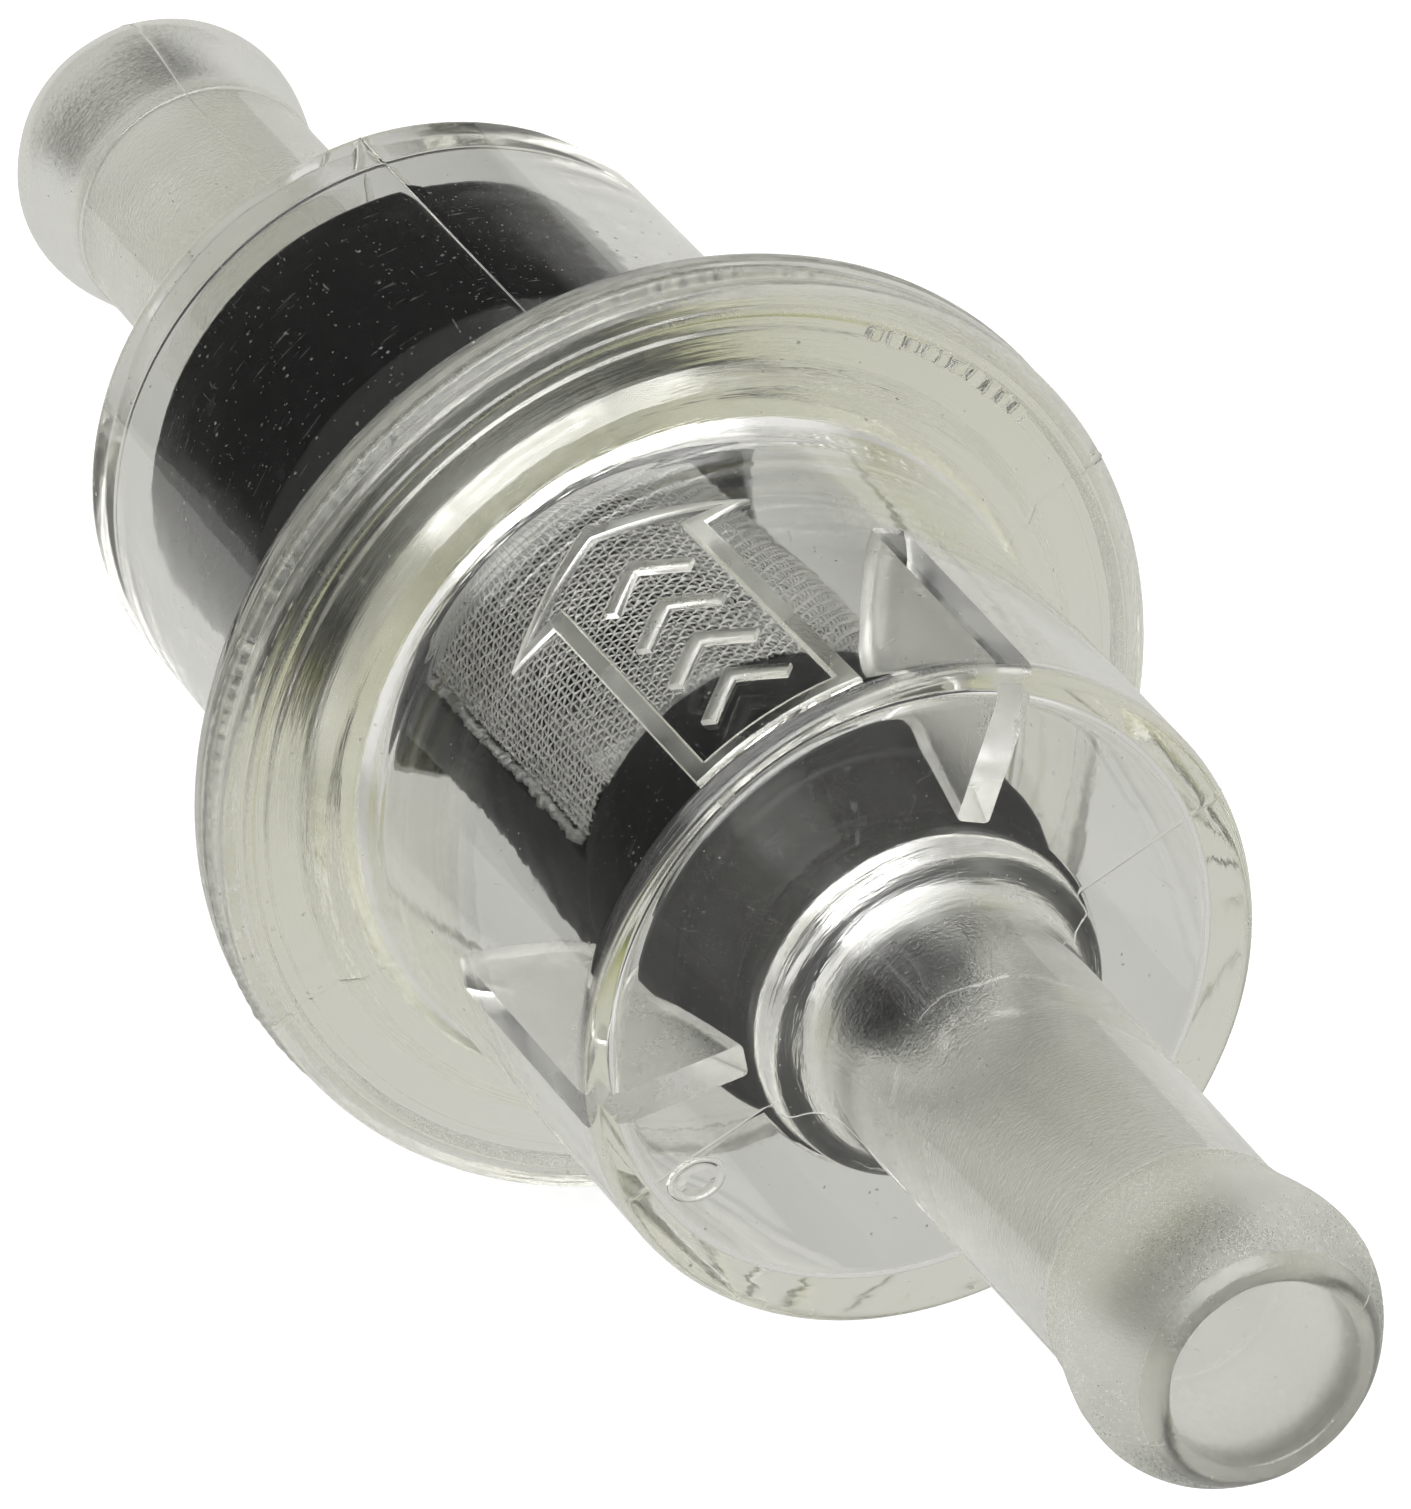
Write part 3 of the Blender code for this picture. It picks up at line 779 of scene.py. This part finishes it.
# ----------------------------------------------------------- outlet half
# (x, r, fillet) from the nipple's foot over the body and flange, then back inside to the lip
OUTLET_BODY = [
    (OUTLET_END, NIPPLE_FOOT_R, 0.0), (OUTLET_END, 9.80, 0.30), (0.75, 10.05, 0.85),
    (0.75, 11.2, 0.0), (0.75, FLANGE_R, 0.34), (0.25, 14.46, 0.25), (-0.1, 14.22, 0.12),
    (-0.335, 13.78, 0.06), (-0.335, 9.30, 0.1), (1.2, 9.05, 1.0), (18.45, 8.8, 0.45),
    (18.45, BORE_R, 0.12), (39.30, BORE_R, 0.0),
]
# material, x from, x to, r from, r to
OUTLET_REGIONS = (
    (weld_face, -ANY, 0.05, 9.4, 14.3),
    (hazed, 33.95, 39.3, 3.3, ANY),     # nipple's bead
    (bore, 19.6, ANY, -ANY, 3.1),
    (bore, 39.2, ANY, -ANY, ANY),       # lip
    (rim, 18.7, 20.0, 9.2, ANY),
)


def build_outlet():
    outline = nipple(OUTLET_TIP, -1, OUTLET_END)[:-1] + rounded(OUTLET_BODY, closed=False)[:-1]
    profile = clean(supported(clean(outline)))

    def outside(x, r):
        return (x > 0.9) & ((r > 9.6) | ((x > 19.2) & (r > 3.3)))

    surface = housing_surface(OUTLET_LINES, 0.022, outside)
    mesh = revolve("outlet_housing_visual", profile, turns(192, OUTLET_LINES), surface)
    materials = [clear_outlet, hazed, weld_face, bore, rim]
    tag(mesh, materials, OUTLET_REGIONS)
    finished(mesh, "outlet_housing_clear", materials, "outlet_housing")


# ------------------------------------------------------------- weld bead
WELD = [  # (x, r, fillet)
    (-0.02, 14.30, 0.1), (-0.14, 14.56, 0.1), (-0.27, 14.62, 0.08), (-0.45, 14.62, 0.08),
    (-0.58, 14.56, 0.1), (-0.70, 14.30, 0.1), (-0.40, 13.82, 0.02), (-0.32, 13.82, 0.02),
]


def build_weld():
    """A bead round the flange, toothed and proud on one side and sunk on the other."""
    count = 1440
    teeth = rng.normal(0, 1, count)
    wrapped = np.concatenate([teeth[-2:], teeth, teeth[:2]])
    teeth = np.convolve(wrapped, [0.15, 0.5, 0.7, 0.5, 0.15], "same")[2:-2]
    swell = np.interp(np.arange(count), np.arange(0, count + 1, 40),
                      np.append(rng.uniform(0, 1, 36), 0.5))

    def toothed(x, r, angle):
        height = (teeth * 0.012 + 0.03 * swell - 0.02)[:, None]
        degrees = (np.degrees(angle) - SPIN + 180) % 360 - 180
        proud = np.clip((degrees + 100) / 20, 0, 1) * np.clip((60 - degrees) / 20, 0, 1)
        return (height * (0.15 + 0.85 * proud) - 0.16 * (1 - proud)) * (r > 14.2)

    mesh = revolve("weld_visual", clean(rounded(WELD, step=25)), turns(count), toothed)
    finished(mesh, "weld_bead_clear", [weld_clear], "weld_bead",
             sharp=60, weighted=False)


# ---------------------------------------------------------- black element
BASE = [  # (x, r, fillet)
    (18.1, 3.3, 0.1), (18.1, 8.0, 0.4), (10.3, 8.0, 0.5), (9.0, 7.25, 0.3), (9.0, 6.2, 0.1),
    (10.5, 6.2, 0.05), (10.8, 5.7, 0.05), (15.0, 5.7, 0.05), (15.0, 4.7, 0.05),
    (16.5, 4.7, 0.2), (16.5, 2.8, 0.1), (17.8, 2.8, 0.1),
]
CAGE = [  # (x, r, fillet), closed towards -X
    (-12.1, 0.0, 0), (-12.1, 4.3, 0.2), (14.6, 4.3, 0.1), (14.6, 5.35, 0.15),
    (10.2, 5.35, 0.1), (10.2, 5.9, 0.1), (9.95, 5.9, 0.05), (9.95, 5.3, 0.05),
    (-8.0, 5.3, 0.05), (-8.0, 5.86, 0.10), (-8.6, 5.9, 0.1), (-13.3, 5.9, 0.28),
    (-13.3, 0.0, 0),
]
WINDOW_HALF_ANGLE = 60
WINDOW_LENGTH, WINDOW_X = 16.7, 0.85   # length along X and its middle
POST_INNER_R, POST_OUTER_R = 5.0, 5.89


def build_base():
    mesh = revolve("base_visual", supported(clean(rounded(BASE))), turns(160),
                   lambda x, r, angle: 0.008 * unevenness(x, angle) * (r > 7))
    finished(mesh, "element_base_black", [black_base], "element_base")


def window_cutter(degrees):
    """A wedge centred on this angle, from near the axis to beyond the cage."""
    half = math.radians(WINDOW_HALF_ANGLE)
    arc = [(9.0 * math.cos(a), 9.0 * math.sin(a)) for a in np.linspace(-half, half, 17)]
    cutter = slab([(1.2, 0.0)] + arc, WINDOW_LENGTH, 0.3)
    upright = Matrix(((0, 0, 1, 0), (1, 0, 0, 0), (0, 1, 0, 0), (0, 0, 0, 1)))
    cutter.transform(Matrix.Translation(Vector((WINDOW_X * MM, 0, 0)))
                     @ Matrix.Rotation(math.radians(degrees), 4, "X") @ upright)
    return cutter


def cage_post():
    """A curved plate between the windows, its long outer edges eased."""
    arc = np.radians(np.linspace(-24.6, 32.4, 40))
    stations = [-8.4] + list(np.linspace(-8.2, 9.9, 20)) + [10.1]
    ends = (0, len(arc) - 1)
    verts, faces = [], []
    for i, angle in enumerate(arc):
        for r in (POST_INNER_R, POST_OUTER_R - 0.10 if i in ends else POST_OUTER_R):
            verts += [(x, r * math.cos(angle), r * math.sin(angle)) for x in stations]
    row = len(stations)
    for i in range(len(arc)):
        first = i * 2 * row
        for a in range(first, first + row - 1):
            if i < ends[1]:
                b = a + 2 * row
                faces.append((a, a + 1, b + 1, b))
                faces.append((a + row, b + row, b + row + 1, a + row + 1))
            if i in ends:
                faces.append((a, a + 1, a + row + 1, a + row))
        if i < ends[1]:
            for a in (first, first + row - 1):
                faces.append((a, a + row, a + 3 * row, a + 2 * row))
    return outward(new_mesh("post", verts, faces))


def build_cage():
    profile = supported(clean(rounded(CAGE, closed=False)), closed=False)
    mesh = revolve("cage_shell", profile, turns(144),
                   lambda x, r, angle: 0.006 * unevenness(x, angle) * (r > 5.5), closed=False)
    windows = joined("windows", [window_cutter(degrees) for degrees in (94.5, 274.5)])
    mesh = combined("cage_visual", mesh, windows, "DIFFERENCE")
    mesh = combined("cage_visual", mesh, cage_post(), "UNION")
    finished(mesh, "element_cage_black", [black_cage], "element_cage")


# ---------------------------------------------------------- woven screen
SCREEN_X0, SCREEN_X1 = -7.62, 9.7
SCREEN_FROM, SCREEN_TO = SPIN - 43.5, SPIN + 257   # degrees
SCREEN_R = 5.66
THREAD_PITCH = 0.225
THREAD = 0.074    # diameter
THREAD_SWAY = 0.010


def around_axis(x, r, angle):
    return np.stack([x, r * np.cos(angle), r * np.sin(angle)], -1)


def build_screen():
    """Plain weave: warp threads along the axis and weft threads round it."""
    start = math.radians(SCREEN_FROM)
    around = math.radians(SCREEN_TO - SCREEN_FROM)
    warps = int(round(around * SCREEN_R / THREAD_PITCH))
    wefts = int(round((SCREEN_X1 - SCREEN_X0) / THREAD_PITCH))
    step = around / warps
    dx = (SCREEN_X1 - SCREEN_X0) / wefts
    rise = THREAD * 0.55

    # two points for each crossing
    points = wefts * 2 + 1
    x = SCREEN_X0 + np.arange(points) * dx / 2
    sign = np.where(np.arange(warps) % 2 == 0, 1.0, -1.0)[:, None]
    r = SCREEN_R + sign * rise * np.cos(math.pi * (x[None, :] - SCREEN_X0 - dx / 2) / dx)
    sway = rng.normal(0, THREAD_SWAY, (warps, 1)) + THREAD_SWAY * np.sin(
        x[None, :] * 1.9 + rng.uniform(0, TAU, (warps, 1)))
    angle = (start + (np.arange(warps) + 0.5) * step)[:, None] + sway / SCREEN_R
    warp_x = np.broadcast_to(x, (warps, points)).copy()
    ragged = 0.1
    warp_x[:, 0] += rng.uniform(-ragged, ragged * 0.3, warps)
    warp = around_axis(warp_x, r, angle)

    angle = start + np.arange(warps * 2 + 1) * step / 2
    rows = SCREEN_X0 + (np.arange(wefts) + 0.5) * dx
    sign = np.where(np.arange(wefts) % 2 == 0, -1.0, 1.0)[:, None]
    r = SCREEN_R + sign * rise * np.cos(math.pi * (angle[None, :] - start - step / 2) / step)
    sway = rng.normal(0, THREAD_SWAY, (wefts, 1)) + THREAD_SWAY * np.sin(
        angle[None, :] * 6 + rng.uniform(0, TAU, (wefts, 1)))
    weft = around_axis(rows[:, None] + sway, r, angle)

    for name, paths, replaced in (("screen_warp", warp, "mesh_screen"),
                                  ("screen_weft", weft, None)):
        finished(tubes(name, paths, THREAD / 2, 4), name, [nylon], replaced,
                 sharp=80, weighted=False)


def build_sealed_edge():
    """A lumpy strand along one edge of the screen."""
    count, sides = 340, 8
    along = np.linspace(0, 1, count)
    x = -7.7 + 17.3 * along
    wander = np.convolve(rng.normal(0, 1.0, count), np.ones(9) / 5, "same") * 0.5
    angle = np.radians(SPIN + (-44.3 - 0.6 * np.sin(along * 21) + wander))
    r = 5.84 + 0.03 * rng.normal(0, 1, count)
    path = around_axis(x, r, angle)
    # a tube of radius 1 mm, whose points are then drawn in to an uneven thickness
    mesh = tubes("seam", path[None], 1.0, sides)
    points = np.array([v.co for v in mesh.vertices]) * 1000
    centres = np.repeat(path, sides, 0)
    lumps = np.abs(np.convolve(rng.normal(0, 1, count), [0.25, 0.5, 0.25], "same"))
    radii = np.repeat(0.10 + 0.09 * lumps, sides)
    radii *= rng.uniform(0.75, 1.25, len(radii))
    points = centres + (points - centres) * radii[:, None]
    mesh.vertices.foreach_set("co", (points * MM).astype(np.float32).ravel())
    mesh.update()
    sealed = nylon_material("nylon_sealed", grey=0.12)
    finished(mesh, "screen_sealed_edge", [sealed], sharp=80, weighted=False)


# ------------------------------------------------------------------ stage
def build_floor():
    """Lit for the camera; other rays see a dimmer glow that falls off towards -X."""
    half, z = 6.0, cad_lo.z - 0.00012
    mesh = bpy.data.meshes.new("floor")
    corners = [(-half, -half, z), (half, -half, z), (half, half, z), (-half, half, z)]
    mesh.from_pydata(corners, [], [(0, 1, 2, 3)])
    floor = link(mesh, "floor")
    material = bpy.data.materials.new("floor")
    nodes = Nodes(material)
    glow = nodes.add("ShaderNodeEmission", {"Color": (1.0, 1.0, 1.0, 1.0), "Strength": 0.80})
    diffuse = nodes.add("ShaderNodeBsdfDiffuse", {"Color": (0.30, 0.30, 0.30, 1.0)})
    seen = nodes.add("ShaderNodeAddShader", {0: glow.outputs[0], 1: diffuse.outputs[0]})
    position = nodes.add("ShaderNodeNewGeometry").outputs["Position"]
    x = nodes.add("ShaderNodeSeparateXYZ", {0: position}).outputs[0]
    dim = nodes.add("ShaderNodeEmission", {
        "Color": (1.0, 0.995, 0.955, 1.0),
        "Strength": nodes.ramp(x, start=-0.040, stop=-0.022, low=0.48, high=0.62),
    })
    camera_ray = nodes.add("ShaderNodeLightPath").outputs["Is Camera Ray"]
    pick = nodes.add("ShaderNodeMixShader",
                     {0: camera_ray, 1: dim.outputs[0], 2: seen.outputs[0]})
    nodes.add("ShaderNodeOutputMaterial", {"Surface": pick.outputs[0]})
    mesh.materials.append(material)


def build_world():
    """A soft sky with a dark panel and two softboxes; the camera itself sees plain white."""
    world = bpy.data.worlds.new("studio")
    bpy.context.scene.world = world
    nodes = Nodes(world)
    generated = nodes.add("ShaderNodeTexCoord").outputs["Generated"]
    direction = nodes.add("ShaderNodeVectorMath", {0: generated}, operation="NORMALIZE").outputs[0]

    def dot(vector):
        inputs = {0: direction, 1: vector}
        node = nodes.add("ShaderNodeVectorMath", inputs, operation="DOT_PRODUCT")
        return node.outputs["Value"]

    def softbox(towards, half_width, half_height, power, edge=0.12):
        """A soft-edged rectangle, its size given on a plane at distance 1."""
        forward = Vector(towards).normalized()
        side = forward.cross(Vector((0, 0, 1))).normalized()
        up = side.cross(forward).normalized()
        facing = dot(forward)
        depth = nodes.larger(facing, 0.001)
        masks = []
        for axis, half in ((side, half_width), (up, half_height)):
            away = nodes.maths("ABSOLUTE", nodes.maths("DIVIDE", dot(axis), depth))
            masks.append(nodes.ramp(away, half, half + edge, low=1.0, high=0.0))
        front = nodes.ramp(facing, start=0.0, stop=0.05)
        return nodes.times(nodes.times(nodes.times(*masks), front), power)

    total = nodes.ramp(dot((0, 0, 1)), start=-0.2, stop=1.0, low=0.66, high=0.70, kind="LINEAR")
    dark = softbox((0.82, 0.0, 0.57), half_width=1.1, half_height=0.62, power=-0.62, edge=0.30)
    main = softbox((-0.62, -0.16, 0.77), half_width=0.52, half_height=0.30, power=8.5)
    second = softbox((-0.25, -0.80, 0.75), half_width=0.18, half_height=0.14, power=3.0)
    for part in (dark, main, second):
        total = nodes.plus(total, part)

    # transmitted rays get a little more light, less so in the dark panel
    rays = nodes.add("ShaderNodeLightPath").outputs
    lift, dark_share, least = 0.16, 0.25, 0.04
    extra = nodes.plus(lift, nodes.times(dark, dark_share))
    total = nodes.plus(total, nodes.times(extra, rays["Is Transmission Ray"]))
    studio = nodes.add("ShaderNodeBackground", {
        "Color": (1.0, 0.997, 0.975, 1.0), "Strength": nodes.larger(total, least),
    })
    white = nodes.add("ShaderNodeBackground", {"Color": (1.0, 1.0, 1.0, 1.0), "Strength": 1.0})
    pick = nodes.add("ShaderNodeMixShader", {
        0: rays["Is Camera Ray"], 1: studio.outputs[0], 2: white.outputs[0],
    })
    nodes.add("ShaderNodeOutputWorld", {"Surface": pick.outputs[0]})


# ----------------------------------------------------------------- camera
# The camera's right, up and back, in a frame mirrored along X and turned by SPIN about it.
CAMERA_AXES = Matrix((
    (0.41103, -0.53311, 0.73949),
    (-0.45137, 0.58576, 0.67317),
    (0.79204, 0.61047, 0.0),
))
CAMERA_UNIT = 0.0103                       # metres per unit of SUBJECT
SUBJECT = Vector((0.59539, -0.66517, -56.8104))   # SUBJECT_PLACE as the camera sees it
SUBJECT_PLACE = Vector((-0.01746, 0.0, 0.0))      # metres


def build_camera():
    spin = math.radians(SPIN)
    frame = Matrix((
        (-1, 0, 0),
        (0, math.cos(spin), -math.sin(spin)),
        (0, math.sin(spin), math.cos(spin)),
    ))
    turn = frame @ CAMERA_AXES.transposed()
    place = SUBJECT_PLACE - turn @ (SUBJECT * CAMERA_UNIT)
    data = bpy.data.cameras.new("camera")
    data.sensor_width = 36.0
    data.lens = 499.3
    data.clip_start = 0.05
    data.clip_end = 50.0
    camera = link(data, "camera")
    camera.matrix_world = Matrix.Translation(place) @ turn.to_4x4()
    bpy.context.scene.camera = camera


def set_render():
    scene = bpy.context.scene
    view = {"view_transform": "Standard", "look": "None", "exposure": 0.0, "gamma": 1.0}
    cycles = {
        "max_bounces": 24,
        "transmission_bounces": 20,
        "glossy_bounces": 20,
        "diffuse_bounces": 3,
        "volume_bounces": 0,
        "transparent_max_bounces": 12,
        "caustics_reflective": True,
        "caustics_refractive": True,
        "blur_glossy": 0.0,
        "sample_clamp_indirect": 6.0,
        "use_denoising": True,
    }
    for owner, settings in ((scene.view_settings, view), (scene.cycles, cycles)):
        for key, value in settings.items():
            setattr(owner, key, value)


# The order fixes the random draws.
build_inlet()
build_outlet()
build_weld()
build_base()
build_cage()
build_screen()
build_sealed_edge()
build_floor()
build_world()
build_camera()
set_render()
